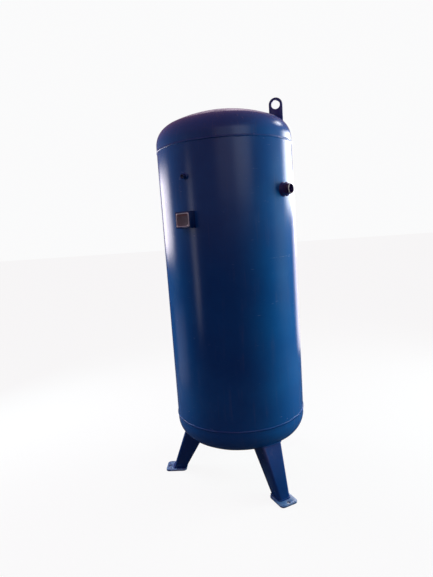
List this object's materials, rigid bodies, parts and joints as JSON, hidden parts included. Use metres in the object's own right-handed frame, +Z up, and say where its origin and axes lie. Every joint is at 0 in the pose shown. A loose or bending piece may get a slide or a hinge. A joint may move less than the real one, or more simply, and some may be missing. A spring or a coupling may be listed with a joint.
{
  "type": "air receiver tank",
  "caption": "Upright welded steel pressure vessel with dished ends, standing on splayed channel legs, with threaded ports, a lifting eye, a nameplate and a bottom drain valve.",
  "frame": {"origin": "on the vessel's axis, in the plane of the floor: the centre of the anchor holes' circle at the undersides of the foot plates", "axes": "+Z up along the vessel's axis; -Y is the front, the side the nameplate and the gauge socket face, and +X is to its right"},
  "size_m": [0.7445, 0.754, 1.8501],
  "materials": {
    "blue_enamel": "glossy deep royal blue stoving enamel over smooth steel plate",
    "enamelled_weld": "glossy blue enamel over a rippled weld bead",
    "leg_enamel": "glossy navy blue enamel",
    "foot_enamel": "lighter blue enamel, scuffed and dusty",
    "bare_steel": "bare rolled steel",
    "dark_nipple": "dark violet-blue enamel with a bare metal rim",
    "zinc_plated": "zinc plated steel",
    "seal_rubber": "black nitrile rubber",
    "nameplate_metal": "etched metal plate with a light border",
    "rivet_metal": "bright aluminium",
    "brass": "machined brass",
    "ptfe": "white PTFE",
    "chrome": "chromed brass",
    "stainless": "turned stainless steel",
    "red_vinyl": "dipped red vinyl"
  },
  "bodies": {
    "vessel": {"shell": "blue_enamel", "shell_seam_weld": "enamelled_weld", "top_head": "blue_enamel", "bottom_head": "blue_enamel", "top_girth_weld": "enamelled_weld", "bottom_girth_weld": "enamelled_weld", "top_backing_ring": "bare_steel", "bottom_backing_ring": "bare_steel", "lifting_lug": "blue_enamel", "lifting_lug_weld": "enamelled_weld", "outlet_socket": "blue_enamel", "outlet_socket_weld": "enamelled_weld", "outlet_nipple": "dark_nipple", "inlet_socket": "blue_enamel", "inlet_socket_weld": "enamelled_weld", "gauge_socket": "blue_enamel", "gauge_socket_weld": "enamelled_weld", "safety_valve_socket": "blue_enamel", "safety_valve_socket_weld": "enamelled_weld", "inspection_socket": "blue_enamel", "inspection_socket_weld": "enamelled_weld", "inspection_plug": "zinc_plated", "inspection_seal": "seal_rubber", "nameplate_bracket": "blue_enamel", "nameplate_bracket_weld": "enamelled_weld", "nameplate": "nameplate_metal", "nameplate_rivets": "rivet_metal", "drain_socket": "blue_enamel", "drain_socket_weld": "enamelled_weld", "drain_valve_body": "brass", "drain_valve_end": "brass", "drain_valve_seats": "ptfe", "drain_valve_packing": "ptfe", "drain_valve_gland_nut": "brass", "leg_right": "leg_enamel", "leg_left": "leg_enamel", "leg_rear": "leg_enamel", "leg_right_weld": "enamelled_weld", "leg_left_weld": "enamelled_weld", "leg_rear_weld": "enamelled_weld", "foot_plate_right": "foot_enamel", "foot_plate_left": "foot_enamel", "foot_plate_rear": "foot_enamel", "foot_right_weld": "enamelled_weld", "foot_left_weld": "enamelled_weld", "foot_rear_weld": "enamelled_weld"},
    "drain_lever": {"drain_valve_ball": "chrome", "drain_valve_stem": "stainless", "drain_valve_lever": "zinc_plated", "drain_valve_grip": "red_vinyl", "drain_valve_lever_nut": "zinc_plated"}
  },
  "joints": [
    {"name": "drain_valve_turn", "type": "hinge", "parent": "vessel", "child": "drain_lever", "pos_m": [0, 0, 0.13017], "axis": [0, 1, 0], "range_deg": [0, 90]}
  ]
}
